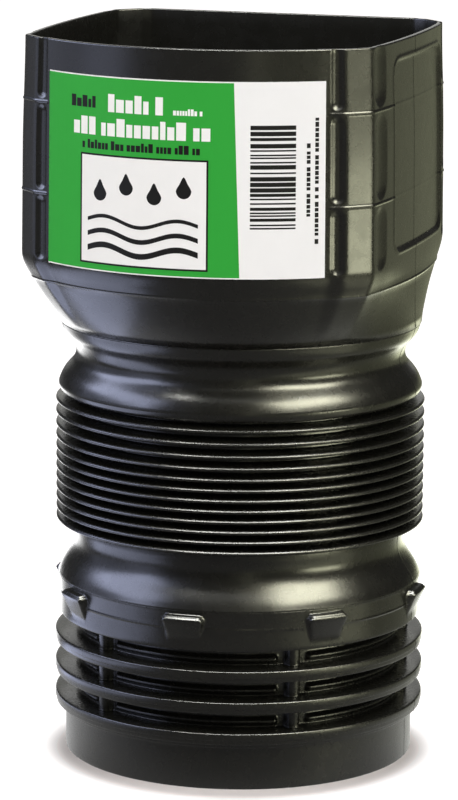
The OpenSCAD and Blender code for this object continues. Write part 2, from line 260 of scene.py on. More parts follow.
def rounded(points):
    """A profile's (radius, height) points from its (radius, height, fillet) corners."""
    made = []
    for i, (r, z, fillet) in enumerate(points):
        here = np.array([r, z])
        if fillet == 0 or i in (0, len(points) - 1):
            made.append(here)
            continue
        before = np.array(points[i - 1][:2]) - here
        after = np.array(points[i + 1][:2]) - here
        before_long, after_long = np.linalg.norm([before, after], axis=1)
        before_unit = before / before_long
        after_unit = after / after_long
        half_angle = math.acos(np.clip(before_unit @ after_unit, -1, 1)) / 2
        most = FILLET_SHARE * min(before_long, after_long)
        reach = min(fillet / math.tan(half_angle), most)
        start = here + before_unit * reach
        end = here + after_unit * reach
        for k in range(CORNER_STEPS + 1):
            t = k / CORNER_STEPS
            made.append((1 - t) ** 2 * start + 2 * t * (1 - t) * here + t**2 * end)
    return np.array(made)


def interpolated(wanted, places, points):
    """Points at the wanted places of a line whose given points lie at places."""
    return np.stack([np.interp(wanted, places, points[:, k]) for k in (0, 1)], axis=1)


# How profiles are smoothed: the samples' distance, how many count on either side, and what is kept
SAMPLE_STEP = 0.1
SAMPLE_TAPS = 30
SAMPLE_REACH = 1.1
KEPT_STEP = 0.6


def places_along(points):
    """How far along a line each of its points lies."""
    return np.concatenate([[0], np.cumsum(np.linalg.norm(np.diff(points, axis=0), axis=1))])


def softened(points):
    """A smooth profile near (radius, height) points, sampled evenly from the first one on."""
    points = np.array(points, float)
    place = places_along(points)
    even = np.linspace(0, place[-1], math.ceil(place[-1] / SAMPLE_STEP) + 1)
    line = interpolated(even, place, points)
    taps = np.arange(-SAMPLE_TAPS, SAMPLE_TAPS + 1)
    kernel = np.exp(-0.5 * (taps * SAMPLE_STEP / SAMPLE_REACH) ** 2)
    kernel /= kernel.sum()
    before = 2 * line[0] - line[SAMPLE_TAPS:0:-1]
    after = 2 * line[-1] - line[-2 : -SAMPLE_TAPS - 2 : -1]
    padded = np.vstack([before, line, after])
    smooth = np.stack([np.convolve(padded[:, k], kernel, "valid") for k in (0, 1)], axis=1)
    return smooth[:: round(KEPT_STEP / SAMPLE_STEP)]


def divided(profile, longest):
    """A profile with its long straight stretches cut into shorter ones."""
    made = [profile[0]]
    for a, b in zip(profile[:-1], profile[1:]):
        steps = max(1, math.ceil(np.linalg.norm(b - a) / longest))
        made += [a + (b - a) * k / steps for k in range(1, steps + 1)]
    return np.array(made)


def way_round(here, place, whole):
    """Shortest way between two places on a closed line of length whole."""
    gap = np.abs(here - place) % whole
    return np.minimum(gap, whole - gap)


def spread(whole, samples, base, fine, growth, start):
    """Places on a closed line, spaced by base and closer near each (place, reach, spacing) in fine."""
    even = np.arange(samples) * whole / samples
    weight = np.full(samples, 1 / base)
    for place, reach, spacing in fine:
        beyond = np.maximum(0, way_round(even, place, whole) - reach)
        weight = np.maximum(weight, 1 / (spacing + beyond * growth))
    total = np.concatenate([[0], np.cumsum(weight)])
    count = int(round(total[-1] * whole / samples))
    targets = (np.arange(count) + start) / count * total[-1]
    return np.interp(targets, total, np.append(even, whole))


# The collar's outline

OUTLINE_SAMPLES = 4000
OUTLINE_SMOOTHING = 0.9
FRONT_SAMPLES = 60
SIDE_SAMPLES = 40


def corner_points(face_y, lead):
    """The ends of a corner's three facets, from a face at face_y round to the side."""
    return [
        (FRONT_HALF, face_y),
        (FRONT_HALF + BAND_LEAD, face_y - BAND_IN),
        (SIDE_X - SIDE_IN, face_y - BAND_IN - CORNER_BAND),
        (SIDE_X, face_y - BAND_IN - CORNER_BAND - lead),
    ]


def half_outline():
    """The right half of the outline, from the middle of the front to the middle of the back."""
    front_angle = math.asin(FRONT_HALF / FRONT_RADIUS)
    points = []
    for a in np.linspace(0, front_angle, FRONT_SAMPLES):
        points.append((FRONT_RADIUS * math.sin(a), FRONT_CENTRE - FRONT_RADIUS * math.cos(a)))
    front = [(x, -y) for x, y in corner_points(FRONT_END, FRONT_LEAD)]
    back = corner_points(COLLAR_BACK, BACK_LEAD)
    points += front[1:]
    start, end = front[3][1], back[3][1]
    for t in np.linspace(0, 1, SIDE_SAMPLES)[1:-1]:
        points.append((SIDE_X + SIDE_BOW * 4 * t * (1 - t), start + (end - start) * t))
    points += back[::-1]
    points.append((0.0, COLLAR_BACK))
    return np.array(points)


def smooth_outline():
    """The outline as evenly spaced points with softened corners, and the length around it."""
    right = half_outline()
    left = right[::-1][1:-1] * [-1, 1]
    closed = np.vstack([right, left, right[:1]])
    place = places_along(closed)
    length = place[-1]
    even = np.linspace(0, length, OUTLINE_SAMPLES, endpoint=False)
    points = interpolated(even, place, closed)
    offsets = way_round(even, 0, length)
    kernel = np.exp(-0.5 * (offsets / OUTLINE_SMOOTHING) ** 2)
    kernel /= kernel.sum()
    spectrum = np.fft.fft(kernel)[:, None]
    return np.fft.ifft(np.fft.fft(points, axis=0) * spectrum, axis=0).real, length


OUTLINE, OUTLINE_LENGTH = smooth_outline()


def outline_at(distance):
    """Points of the outline and their outward normals, at distances round it from the front's middle."""
    step = OUTLINE_LENGTH / OUTLINE_SAMPLES
    place = (distance / step) % OUTLINE_SAMPLES
    index = np.arange(OUTLINE_SAMPLES + 1)
    closed = np.vstack([OUTLINE, OUTLINE[:1]])
    tangent = np.roll(OUTLINE, -1, axis=0) - np.roll(OUTLINE, 1, axis=0)
    normal = np.stack([tangent[:, 1], -tangent[:, 0]], axis=1)
    normal /= np.linalg.norm(normal, axis=1)[:, None]
    normals = np.vstack([normal, normal[:1]])
    point = interpolated(place, index, closed)
    out = interpolated(place, index, normals)
    return point, out / np.linalg.norm(out, axis=1)[:, None]


def distance_of(x, y):
    """How far round the outline the point nearest to (x, y) lies."""
    nearest = np.argmin(np.linalg.norm(OUTLINE - [x, y], axis=1))
    return nearest * OUTLINE_LENGTH / OUTLINE_SAMPLES


def flute_places():
    """The (distance, half width) of each flute round the collar."""
    places = []
    corners = (
        (FRONT_END, -1, FRONT_LEAD, FLUTE_WIDE_HALF),
        (COLLAR_BACK, 1, BACK_LEAD, FLUTE_BACK_HALF),
    )
    for face_y, flip, lead, wide in corners:
        points = corner_points(face_y, lead)
        facets = ((points[0], points[1], FLUTE_NARROW_HALF), (points[2], points[3], wide))
        for a, b, half in facets:
            x, y = np.add(a, b) / 2
            for side in (-1, 1):
                places.append((distance_of(side * x, flip * y), half))
    return places


FLUTES = flute_places()
SEAMS = ((distance_of(SIDE_X, 0), -1), (distance_of(-SIDE_X, 0), 1))
LABEL_EDGE = distance_of(FRONT_HALF, -FRONT_END)


def round_gap(distance, place):
    """Shortest way round the outline between two places."""
    return way_round(distance, place, OUTLINE_LENGTH)


def collar_distances():
    """Where the collar's rings have their points: close together at flutes, seams and panel sides."""
    fine = [(place, half + FLUTE_MARGIN, FLUTE_SPACING) for place, half in FLUTES]
    for place, towards_front in SEAMS:
        middle = place + towards_front * SEAM_SHIFT / 2
        fine.append((middle, SEAM_SHIFT / 2 + SEAM_MARGIN, SEAM_SPACING))
    for y in (PANEL_MIDDLE - PANEL_WIDTH / 2, PANEL_MIDDLE + PANEL_WIDTH / 2):
        fine += [(distance_of(side * SIDE_X, y), *PANEL_FINE) for side in (-1, 1)]
    return spread(OUTLINE_LENGTH, OUTLINE_SAMPLES, COLLAR_SPACING, fine, growth=1, start=0)


def box_distance(x, z, half_x, half_z, corner):
    """Signed distance to a rounded box, below 0 inside."""
    across = np.abs(x) - half_x + corner
    up = np.abs(z) - half_z + corner
    outside = np.hypot(np.maximum(across, 0), np.maximum(up, 0))
    return outside + np.minimum(np.maximum(across, up), 0) - corner


def flute_rows():
    """Low and high ends of the three rows of flutes."""
    stops = (COLLAR_BASE + 0.5, *COLLAR_LINES, RIM_HEIGHT + 2)
    return [(a + FLUTE_GAP, b - FLUTE_GAP) for a, b in zip(stops[:-1], stops[1:])]


def collar_relief(distance, z):
    """How far the collar's outside stands off its plain form, for each level and place round it."""
    relief = np.zeros((len(z), len(distance)))
    level = z[:, None]
    around = distance[None, :]
    rows = flute_rows()
    for place, half in FLUTES:
        across = round_gap(around, place)
        for low, high in rows:
            past_end = np.maximum(np.abs(level - (low + high) / 2) - (high - low) / 2 + half, 0)
            relief -= FLUTE_DEPTH * np.maximum(1 - (across**2 + past_end**2) / half**2, 0)
    on_panel = 0
    point, _ = outline_at(distance)
    middle = (PANEL_LOW + PANEL_HIGH) / 2
    half_tall = (PANEL_HIGH - PANEL_LOW) / 2
    for side in (-1, 1):
        on_side = point[:, 0] * side > SIDE_X - PANEL_SIDE
        across = np.where(on_side, point[:, 1] - PANEL_MIDDLE, np.inf)[None, :]
        edge = box_distance(across, level - middle, PANEL_WIDTH / 2, half_tall, PANEL_CORNER)
        relief -= PANEL_DEPTH * smooth_step((PANEL_EDGE_OUT - edge) / PANEL_EDGE_SPAN)
        relief += PANEL_LIP * ridge(edge - PANEL_LIP_OUT, PANEL_LIP_HALF)
        on_panel = np.maximum(on_panel, smooth_step((LINE_FADE_OUT - edge) / LINE_FADE_SPAN))
    past_label = round_gap(distance, 0) - LABEL_EDGE + LABEL_OVERLAP
    off_label = smooth_step(past_label / LABEL_OVERLAP_SPAN)[None, :]
    for line in COLLAR_LINES:
        relief += LINE_PROUD * ridge(level - line, LINE_HALF) * off_label * (1 - LINE_FADE * on_panel)
    relief += LINE_PROUD * ridge(level - CONE_LINE, LINE_HALF)
    for place, towards_front in SEAMS:
        there = place + towards_front * SEAM_SHIFT * cone_share(z)[:, None]
        relief += SEAM_PROUD * ridge(round_gap(around, there), SEAM_HALF)
    return relief


def cone_rise(z):
    """How far the plain cone has opened, from 0 at its foot to 1 at the collar."""
    return np.clip((z - CONE_FOOT) / (COLLAR_BASE - CONE_FOOT), 0, 1) ** CONE_CURVE


def cone_share(z):
    """How far the cone has opened from a circle to the collar's outline, with its shoulder rounded."""
    offsets = np.linspace(-CONE_ROUNDING, CONE_ROUNDING, CONE_SAMPLES)
    mean = sum(cone_rise(z + offset) for offset in offsets) / len(offsets)
    above_foot = smooth_step((z - CONE_FOOT) / CONE_ROUNDING)
    return cone_rise(z) * (1 - above_foot) + mean * above_foot


def taper_at(z):
    """How wide the collar is at a height, as a share of its width at the base."""
    return 1 - COLLAR_TAPER * np.maximum(z - COLLAR_BASE, 0) / (RIM_HEIGHT - COLLAR_BASE)


def collar_wall(distance, z, inset, relief=0):
    """The collar's wall as rings: the outline tapered towards the rim, opened from a circle below."""
    point, normal = outline_at(distance)
    share = cone_share(z)[:, None, None]
    shape = point[None] - inset[:, None, None] * normal[None]
    size = np.linalg.norm(shape, axis=2, keepdims=True)
    circle = CONE_RADIUS - inset[:, None, None]
    ring = shape * (circle + (size - circle) * share) / size * taper_at(z)[:, None, None]
    drawn = RIM_DRAW_IN * smooth_step((z - STRAIGHT_TOP) / (RIM_HEIGHT - STRAIGHT_TOP))[:, None]
    sideways = smooth_step((np.abs(point[:, 0]) - RIM_DRAW_START) / RIM_DRAW_SPAN)[None, :]
    ring[:, :, 0] -= np.sign(point[:, 0])[None, :] * drawn * sideways
    ring += np.broadcast_to(relief, ring.shape[:2])[:, :, None] * normal[None]
    heights = np.broadcast_to(z[:, None, None], (len(z), len(distance), 1))
    return np.concatenate([ring, heights], axis=2)


def levels_between(low, high, longest, fine):
    """Heights from low to high, with close ones round each (height, reach, step) in fine."""
    heights = set(np.round(np.linspace(low, high, math.ceil((high - low) / longest) + 1), 3))
    for middle, reach, step in fine:
        for z in np.arange(middle - reach, middle + reach + step / 2, step):
            if low < z < high:
                heights.add(round(float(z), 3))
    return thinned(sorted(heights))


def thinned(heights):
    """The same heights without those that lie almost on the one before."""
    kept = [heights[0]]
    for z in heights[1:-1]:
        if min(z - kept[-1], heights[-1] - z) > LEAST_LEVEL_GAP:
            kept.append(z)
    kept.append(heights[-1])
    return np.array(kept)


def make_collar():
    """The socket collar and the cone under it, outside and inside, as one closed shell."""
    distance = collar_distances()
    fine = [(line, *LINE_FINE) for line in (*COLLAR_LINES, CONE_LINE)]
    for low, high in flute_rows():
        fine += [(low + 1, *FLUTE_END_FINE), (high - 1, *FLUTE_END_FINE)]
    fine += [(PANEL_LOW, *PANEL_FINE), (PANEL_HIGH, *PANEL_FINE)]
    lip_foot = RIM_HEIGHT - RIM_LIP
    z = levels_between(CONE_FOOT, lip_foot, COLLAR_LEVELS, fine)
    foot_bead = LINE_PROUD * ridge(z - CONE_FOOT, LINE_HALF)
    relief = collar_relief(distance, z) + foot_bead[:, None]
    outside = collar_wall(distance, z, np.zeros(len(z)), relief)
    turns = np.linspace(0, math.pi / 2, 4)[1:]
    lip_z = lip_foot + RIM_LIP * np.sin(turns)
    lip_in = RIM_LIP * (1 - np.cos(turns))
    outer_lip = collar_wall(distance, lip_z, lip_in, collar_relief(distance, lip_z))
    inner_lip = collar_wall(distance, lip_z[::-1], COLLAR_WALL - lip_in[::-1])
    inner_z = levels_between(CONE_FOOT, lip_foot, COLLAR_INSIDE_LEVELS, [])[::-1]
    inside = collar_wall(distance, inner_z, np.full(len(inner_z), COLLAR_WALL))
    return grid_mesh("socket_collar", np.concatenate([outside, outer_lip, inner_lip, inside]))


# The round part

ANGLE_SAMPLES = 18000


def angle_gap(angle, place):
    """Shortest way round between two angles, in degrees."""
    return way_round(angle, place, 360)


def angles_with(base, fine):
    """Angles round the axis with spacing base, closer near each (angle, reach, spacing) in fine."""
    return spread(360, ANGLE_SAMPLES, base, fine, growth=0.6, start=0.5)


def seam_relief(angle, radius):
    """The parting line's ridge on both sides of the round part."""
    relief = 0
    for place in SEAM_ANGLES:
        gap = np.radians(angle_gap(angle, place))[None, :] * radius[:, None]
        relief = relief + SEAM_PROUD * ridge(gap, SEAM_HALF)
    return relief


def turned(radius, z, angle):
    """Rings from radii for each level and angle."""
    a = np.radians(angle)[None, :]
    heights = np.broadcast_to(z[:, None], radius.shape)
    return np.stack([radius * np.cos(a), radius * np.sin(a), heights], axis=2)


def turned_shell(name, outer, relief, inner, angle):
    """A closed shell between an outer profile with its relief and a plain inner one."""
    outside = turned(outer[:, :1] + relief, outer[:, 1], angle)
    inside = turned(inner[:, :1] + np.zeros(len(angle)), inner[:, 1], angle)
    return grid_mesh(name, np.concatenate([outside, inside]))


def fold_height(i):
    """The height of a fold's crest. The topmost folds stand a little open."""
    opened = max(0, i + 1 - FOLD_COUNT + OPEN_FOLDS)
    return FOLD_START + i * FOLD_PITCH + FOLD_OPENING * opened**1.5


def bellows_outside():
    """Outer profile from the mould line under the lower bulge to the one at the cone's foot."""
    low_neck = softened([
        (BULGE_RADIUS - 0.05, BULGE_LINE + 0.5),
        (BULGE_RADIUS - 0.6, BULGE_LINE + 1.9),
        (BULGE_RADIUS - 2.1, BULGE_LINE + 4.3),
        (BULGE_RADIUS - 3.6, BULGE_LINE + 6.4),
        (LOW_NECK_RADIUS + 0.6, LOW_NECK_HEIGHT - 2.6),
        (LOW_NECK_RADIUS, LOW_NECK_HEIGHT),
        (VALLEY_RADIUS + 0.1, FOLD_START - 3),
    ])
    upper_neck = softened([
        (SHOULDER_RADIUS, SHOULDER_EDGE + 0.4),
        (SHOULDER_RADIUS - 0.5, SHOULDER_EDGE + 1.9),
        (SHOULDER_RADIUS - 1.6, SHOULDER_EDGE + 4.0),
        (SHOULDER_RADIUS - 3.5, SHOULDER_EDGE + 6.1),
        (NECK_RADIUS + 0.8, NECK_HEIGHT - 2.6),
        (NECK_RADIUS, NECK_HEIGHT),
        (NECK_RADIUS + 0.4, NECK_HEIGHT + 1.9),
        (NECK_RADIUS + 1.5, NECK_HEIGHT + 4.2),
        (NECK_RADIUS + 3.7, NECK_HEIGHT + 6.2),
        (CONE_RADIUS - 0.5, CONE_FOOT - 2.4),
        (CONE_RADIUS - 0.1, CONE_FOOT - 0.9),
    ])
    folds = [(VALLEY_RADIUS, FOLD_START - ROOT_HALF - 1, 0)]
    for i in range(FOLD_COUNT):
        z = fold_height(i)
        folds += [
            (VALLEY_RADIUS, z - ROOT_HALF, 0.3),
            (CREST_RADIUS - CREST_BEVEL, z - CREST_HALF, 0.4),
            (CREST_RADIUS, z - CREST_FLAT, 0.4),
            (CREST_RADIUS, z + CREST_FLAT, 0.4),
            (CREST_RADIUS - CREST_BEVEL, z + CREST_HALF, 0.4),
            (VALLEY_RADIUS, z + ROOT_HALF, 0.3),
        ]
    folds += [
        (VALLEY_RADIUS, SHOULDER_EDGE - 2.7, 0.3),
        (SHOULDER_RADIUS - 1.1, SHOULDER_EDGE - 2.2, 0.8),
        (SHOULDER_RADIUS - 0.4, SHOULDER_EDGE - 1.4, 1.5),
        (SHOULDER_RADIUS, SHOULDER_EDGE - 0.2, 0.9),
        (SHOULDER_RADIUS, SHOULDER_EDGE + 0.2, 0),
    ]
    return np.vstack([
        [(BULGE_RADIUS + 0.2, BULGE_LINE)],
        low_neck,
        rounded(folds),
        upper_neck,
        [(CONE_RADIUS, CONE_FOOT - 0.5), (CONE_RADIUS + LINE_PROUD, CONE_FOOT)],
    ])


def bellows_inside():
    """Inner profile of the same stretch, from the top down."""
    upper = [
        (CONE_RADIUS, CONE_FOOT),
        (CONE_RADIUS - 0.5, CONE_FOOT - 2),
        (NECK_RADIUS + 0.4, NECK_HEIGHT + 1.5),
        (NECK_RADIUS + 0.4, NECK_HEIGHT - 1.9),
        (SHOULDER_RADIUS - 3.4, SHOULDER_EDGE + 4.7),
        (SHOULDER_RADIUS - 0.5, SHOULDER_EDGE + 0.8),
        (SHOULDER_RADIUS - 0.4, SHOULDER_EDGE - 0.3),
        (VALLEY_RADIUS, SHOULDER_EDGE - 1.4),
        (VALLEY_RADIUS, SHOULDER_EDGE - 3.4),
    ]
    points = [(radius - COLLAR_WALL, z) for radius, z in upper]
    for i in reversed(range(FOLD_COUNT)):
        z = fold_height(i)
        points += [
            (VALLEY_RADIUS - FOLD_WALL, z + ROOT_HALF - FOLD_WALL * 0.8),
            (CREST_RADIUS - 2 * FOLD_WALL, z),
            (VALLEY_RADIUS - FOLD_WALL, z - ROOT_HALF + FOLD_WALL * 0.8),
        ]
    lower = [
        (VALLEY_RADIUS, FOLD_START - ROOT_HALF),
        (LOW_NECK_RADIUS + 0.1, LOW_NECK_HEIGHT - 1.2),
        (BULGE_RADIUS - 3.5, BULGE_LINE + 5.6),
        (BULGE_RADIUS - 0.5, BULGE_LINE + 1.5),
        (BULGE_RADIUS, BULGE_LINE),
    ]
    points += [(radius - SPIGOT_WALL, z) for radius, z in lower]
    return np.array(points)


def make_bellows():
    """The two necks and the bellows between them, as one closed shell."""
    angle = angles_with(BELLOWS_ANGLE, [(place, *BELLOWS_SEAM_FINE) for place in SEAM_ANGLES])
    profile = divided(bellows_outside(), BELLOWS_SPACING)
    return turned_shell("bellows", profile, seam_relief(angle, profile[:, 0]), bellows_inside(), angle)


def rib_height(i):
    return RIB_TOP + i * RIB_PITCH


def spigot_outside():
    """Outer profile from the foot to the mould line under the lower bulge."""
    points = [
        (RING_RADIUS - 1, 0, 0),
        (RING_RADIUS, 0, 0.35),
        (RING_RADIUS, RING_HEIGHT, 0.3),
        (RING_STEP, RING_HEIGHT + 0.3, 0.3),
        (RING_STEP, rib_height(0) - RIB_THICKNESS, 0.2),
    ]
    for i in range(RIB_COUNT):
        top = rib_height(i)
        if i > 0:
            points.append((RIB_VALLEY, top - RIB_THICKNESS, 0.5))
        points += [
            (RIB_RADIUS - RIB_STEP, top - RIB_THICKNESS, 0.45),
            (RIB_RADIUS - RIB_STEP, top - RIB_THICKNESS * 0.62, 0.1),
            (RIB_RADIUS, top - RIB_THICKNESS * 0.56, 0.12),
            (RIB_RADIUS, top, 0.5),
            (RIB_VALLEY, top, 0.5),
        ]
    points += [
        (RIB_VALLEY, SKIRT_FOOT, 0.5),
        (SKIRT_RADIUS, SKIRT_FOOT, 0.45),
        (SKIRT_RADIUS + 0.05, SKIRT_LINE - 0.45, 0.1),
        (SKIRT_RADIUS + 0.28, SKIRT_LINE, 0.15),
        (SKIRT_RADIUS + 0.1, SKIRT_LINE + 0.5, 0.1),
        (BULGE_RADIUS - 0.05, BULGE_LINE - 0.5, 0.1),
        (BULGE_RADIUS + 0.2, BULGE_LINE, 0),
    ]
    return rounded(points)


def spigot_inside():
    """Inner profile of the same stretch, from the top down."""
    bore = RIB_VALLEY - SPIGOT_WALL
    deep = RIB_RADIUS - RIB_STEP - SPIGOT_WALL
    points = [
        (BULGE_RADIUS - SPIGOT_WALL, BULGE_LINE),
        (SKIRT_RADIUS - SPIGOT_WALL, SKIRT_FOOT + SPIGOT_SKIN),
        (bore, SKIRT_FOOT + SPIGOT_SKIN),
    ]
    for i in reversed(range(RIB_COUNT)):
        top = rib_height(i) - SPIGOT_SKIN
        low = rib_height(i) - RIB_THICKNESS + SPIGOT_SKIN
        points += [(bore, top), (deep, top), (deep, low)]
        if i > 0:
            points.append((bore, low))
    points.append((RING_RADIUS - SPIGOT_WALL, low))
    points.append((RING_RADIUS - SPIGOT_WALL, 0))
    return np.array(points)


def tab_relief(angle, z):
    """How far the snap tabs stand out of the skirt: wedges that widen up to a ledge."""
    level = z[:, None]
    over_ledge = level - TAB_LEDGE
    rise = np.clip((level - TAB_FOOT) / (TAB_LEDGE - TAB_FLAT - TAB_FOOT), 0, 1)
    height = TAB_REACH * rise - TAB_TOP_DROP * smooth_step(over_ledge + 1)
    height = height * (1 - smooth_step(over_ledge / TAB_LEDGE_SPAN))
    half = TAB_FOOT_HALF + (TAB_HALF - TAB_FOOT_HALF) * rise
    half = half - TAB_NARROWING * smooth_step((over_ledge + TAB_NARROWING_START) / TAB_NARROWING_SPAN)
    relief = 0
    for place in TAB_ANGLES:
        across = np.radians(angle_gap(angle, place))[None, :] * SKIRT_RADIUS
        relief = relief + height * smooth_step((half - across) / TAB_SIDE_SPAN)
    return np.maximum(relief, 0)


def valley_relief(angle, z, radius):
    """Posts and interrupted beads in the valleys above the ribs."""
    relief = np.zeros((len(z), len(angle)))
    gaps = np.min([angle_gap(angle, place) for place in POST_ANGLES], axis=0)[None, :]
    across = np.radians(gaps) * (RIB_VALLEY + POST_OUT + 1)
    post = POST_OUT + np.sqrt(np.maximum(POST_RADIUS**2 - across**2, 0))
    post = post * smooth_step((POST_RADIUS + POST_EDGE - across) / (2 * POST_EDGE))
    beside_post = smooth_step((gaps - BEAD_GAP) / BEAD_END_SPAN + 0.5)
    for i in range(RIB_COUNT):
        low = rib_height(i)
        high = rib_height(i + 1) - RIB_THICKNESS if i < RIB_COUNT - 1 else SKIRT_FOOT
        here = ((radius < VALLEY_LIMIT) & (z > low) & (z < high))[:, None]
        off_bead = np.abs(z - low - BEAD_LIFT)[:, None] - BEAD_FLAT
        bead = BEAD_PROUD * (1 - smooth_step(off_bead / BEAD_SLOPE)) * beside_post
        relief = np.where(here, np.maximum(bead, post), relief)
    return relief


def spigot_spacing(a, b):
    """The longest stretch allowed between points a and b: short at the ledges and in the valleys."""
    if -LEDGE_BELOW < (a[1] + b[1]) / 2 - TAB_LEDGE < LEDGE_ABOVE:
        return LEDGE_SPACING
    if max(a[0], b[0]) < VALLEY_LIMIT:
        return VALLEY_SPACING
    return np.inf


def make_spigot():
    """The barbed skirt, the snap ribs and the ring at the foot, as one closed shell."""
    fine = [(place, *SPIGOT_SEAM_FINE) for place in SEAM_ANGLES]
    fine += [(place, *POST_FINE) for place in POST_ANGLES]
    for side in (-1, 1):
        fine += [(place + side * TAB_SIDE_ANGLE, *TAB_SIDE_FINE) for place in TAB_ANGLES]
        fine += [(place + side * BEAD_GAP, *BEAD_END_FINE) for place in POST_ANGLES]
    angle = angles_with(SPIGOT_ANGLE, fine)
    coarse = divided(spigot_outside(), SPIGOT_SPACING)
    pairs = zip(coarse[:-1], coarse[1:])
    profile = np.vstack([coarse[:1]] + [divided(pair, spigot_spacing(*pair))[1:] for pair in pairs])
    radius, z = profile[:, 0], profile[:, 1]
    on_skirt = ((radius > SKIRT_RADIUS - 0.6) & (z > SKIRT_FOOT + 0.2))[:, None]
    tabs = (tab_relief(angle, z) - (radius - SKIRT_RADIUS)[:, None]) * on_skirt
    relief = np.maximum(seam_relief(angle, radius), tabs) + valley_relief(angle, z, radius)
    inner = divided(spigot_inside(), SPIGOT_INSIDE_SPACING)
    return turned_shell("spigot", profile, relief, inner, angle)


# Label and its print

LABEL_ARC_HALF = math.asin(LABEL_HALF / FRONT_RADIUS) * FRONT_RADIUS
LABEL_TALL = LABEL_HIGH - LABEL_LOW

# The print, in millimetres from the middle of the label's foot. A box is left, low, right, high
INK_THICKNESS = 0.015
PRINT_MARGIN = 0.35
PRINT_CUT = 2.0
GREEN_EDGE = 20.1
GREEN_LEAN = 1.9
PICTURE = (-30.2, 2.4, 10.6, 33.8)
PICTURE_FRAME_OUT = 0.4
PICTURE_FRAME_WIDTH = 0.55

# Lines of blocks in the place of words: left, low, right and the blocks' height
WHITE_WORDS = ((-20.5, 46.6, -2.5, 5.2), (-33.5, 39.6, 11.5, 5.2), (0.5, 46.8, 10.5, 1.9))
BLACK_WORDS = ((-34.5, 47.4, -24.0, 3.4), (-30.0, 35.6, 8.5, 2.6))

# A block's widths, lower heights, gap after it and wider gap, in block heights
BLOCK_NARROW = 0.3
BLOCK_WIDE = BLOCK_NARROW * 1.9
BLOCK_HEIGHTS = (0.72, 0.72, 1.0)
BLOCK_GAP = 0.11
WORD_GAP = 0.3
WORD_CHANCE = 0.16

# Stripes and two narrow columns on the label's plain side
STRIPES = (23.0, 14.5, 36.2, 43.5)
STRIPE_HEIGHTS = (0.45, 0.45, 0.9, 1.25)
STRIPE_GAPS = (0.35, 0.5, 0.85)
COLUMNS = ((39.4, 18, 38), (41.9, 10, 46))
COLUMN_WIDTH = 1.1
COLUMN_HEIGHTS = (0.7, 1.5)
COLUMN_GAPS = (0.3, 0.3, 0.3, 1.0)


def on_label(u, v, lift):
    """A point of the label, u across and v up on it, and lift off the collar's face."""
    z = LABEL_LOW + v
    taper = taper_at(z)
    a = u / FRONT_RADIUS
    r = FRONT_RADIUS * taper + FRONT_CENTRE * (1 - taper) + LABEL_GLUE + lift
    return Vector((r * math.sin(a), FRONT_CENTRE - r * math.cos(a), z)) * MM


def printed(name, shapes, low, thick):
    """Flat shapes, each a list of (across, up) points, laid on the label as thin closed slabs."""
    bm = bmesh.new()
    for shape in shapes:
        bm.faces.new([bm.verts.new((u, v, 0)) for u, v in shape])
    for cut in np.arange(-LABEL_ARC_HALF + PRINT_CUT, LABEL_ARC_HALF, PRINT_CUT):
        geometry = bm.verts[:] + bm.edges[:] + bm.faces[:]
        bmesh.ops.bisect_plane(bm, geom=geometry, plane_co=(cut, 0, 0), plane_no=(1, 0, 0), dist=1e-5)
    bmesh.ops.recalc_face_normals(bm, faces=bm.faces[:])
    for face in bm.faces:
        if face.normal.z < 0:
            face.normal_flip()
    made = bmesh.ops.extrude_face_region(bm, geom=bm.faces[:], use_keep_orig=True)
    for item in made["geom"]:
        if isinstance(item, bmesh.types.BMVert):
            item.co.z = thick
    bmesh.ops.recalc_face_normals(bm, faces=bm.faces[:])
    for vert in bm.verts:
        vert.co = on_label(vert.co.x, vert.co.y, low + vert.co.z)
    mesh = bpy.data.meshes.new(name)
    bm.to_mesh(mesh)
    bm.free()
    return linked(name, mesh)


def bar(left, low, right, high):
    return [(left, low), (right, low), (right, high), (left, high)]


def frame_bars(left, low, right, high, width):
    """Four bars round a rectangle, meeting at its corners."""
    return [
        bar(left, low, right, low + width),
        bar(left, high - width, right, high),
        bar(left, low + width, left + width, high - width),
        bar(right - width, low + width, right, high - width),
    ]


def word_bars(left, low, right, tall, chance):
    """A stretch of plain blocks of uneven width in the place of words."""
    blocks = []
    x = left
    while x < right - BLOCK_NARROW * tall:
        wide = min(tall * chance.uniform(BLOCK_NARROW, BLOCK_WIDE), right - x)
        top = tall * chance.choice(BLOCK_HEIGHTS)
        blocks.append(bar(x, low, x + wide, low + top))
        x += wide + tall * BLOCK_GAP
        if chance.random() < WORD_CHANCE:
            x += tall * WORD_GAP
    return blocks


def drop(u, v, size):
    """A falling drop, pointed at its top."""
    shape = []
    points = 28
    for k in range(points):
        a = 2 * math.pi * k / points
        upward = max(0, math.cos(a))
        narrowed = 1 - 0.25 * upward
        pulled = 1 + 0.75 * upward**6
        shape.append((u + size * math.sin(a) * narrowed, v + size * pulled * math.cos(a)))
    return shape


def wave(left, right, middle, swing, thick):
    """A band of one and a half waves."""
    steps = 40
    over, under = [], []
    for k in range(steps + 1):
        u = left + (right - left) * k / steps
        lift = swing * math.sin(2 * math.pi * 1.5 * k / steps)
        over.append((u, middle + lift + thick / 2))
        under.append((u, middle + lift - thick / 2))
    return under + over[::-1]


def picture_shapes():
    """Three waves and four drops, in the place of the picture."""
    left, low, right, _ = PICTURE
    inset, pitch, swing = 2.5, 4.2, 1.3
    shapes = []
    for k in range(3):
        thick = 1.7 - 0.3 * k
        shapes.append(wave(left + inset, right - inset, low + pitch + pitch * k, swing, thick))
    size = 2.3
    for k in range(4):
        shapes.append(drop(left + 7 + 9 * k, low + 20.5 + 2.2 * (k % 2), size))
    return shapes


def stripe_shapes(chance):
    """Plain stripes of uneven height and spacing."""
    left, v, right, high = STRIPES
    shapes = []
    while v < high:
        tall = chance.choice(STRIPE_HEIGHTS)
        shapes.append(bar(left, v, right, v + tall))
        v += tall + chance.choice(STRIPE_GAPS)
    return shapes


